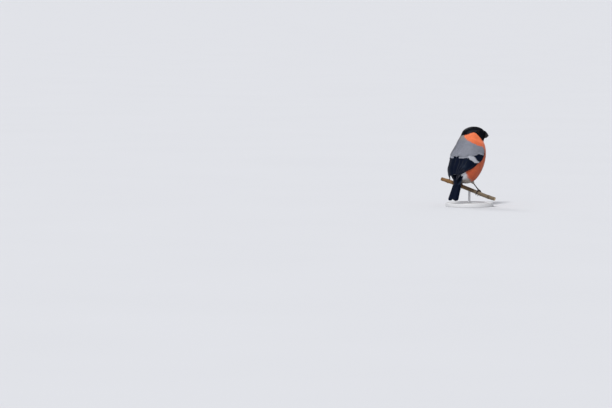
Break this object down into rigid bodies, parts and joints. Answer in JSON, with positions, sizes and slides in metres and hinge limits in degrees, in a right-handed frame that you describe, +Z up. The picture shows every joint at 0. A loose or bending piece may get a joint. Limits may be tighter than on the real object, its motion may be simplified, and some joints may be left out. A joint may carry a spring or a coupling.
{
  "type": "perched bullfinch",
  "caption": "Still life-size songbird with a stout bill and folded wings, looking to its right, gripping a cut twig on a plain display stand.",
  "frame": {"origin": "middle of the stand's flat foot, on the surface that it stands on", "axes": "+X is the way the bird's breast faces, +Y is the bird's left side, +Z is up; the head looks about 35 degrees to the bird's right of +X"},
  "size_m": [0.0819, 0.0994, 0.1326],
  "materials": {
    "red_plumage": "soft matt plumage, orange red on breast, belly and cheeks",
    "grey_plumage": "soft matt ash grey plumage of nape and mantle",
    "black_plumage": "short glossy black plumage of cap and bib",
    "white_plumage": "loose white plumage of rump, vent and thighs",
    "flight_feathers": "blue-black vanes with a satin sheen",
    "horn": "black horn with a satin sheen",
    "eye": "wet dark brown",
    "leg_skin": "scaly dark brown skin with black claws",
    "bark": "smooth golden brown twig bark, greyer to one end",
    "stand": "pale grey satin paint"
  },
  "bodies": {
    "root": {"torso": "red_plumage", "neck": "grey_plumage", "head": "black_plumage", "bill_upper": "horn", "bill_lower": "horn", "eye_left": "eye", "eye_right": "eye", "wing_left": "flight_feathers", "wing_right": "flight_feathers", "tail": "flight_feathers", "thigh_left": "white_plumage", "thigh_right": "white_plumage", "shank_left": "leg_skin", "shank_right": "leg_skin", "foot_left": "leg_skin", "foot_right": "leg_skin", "perch": "bark", "stand_rod": "stand", "stand_base": "stand"}
  },
  "joints": []
}
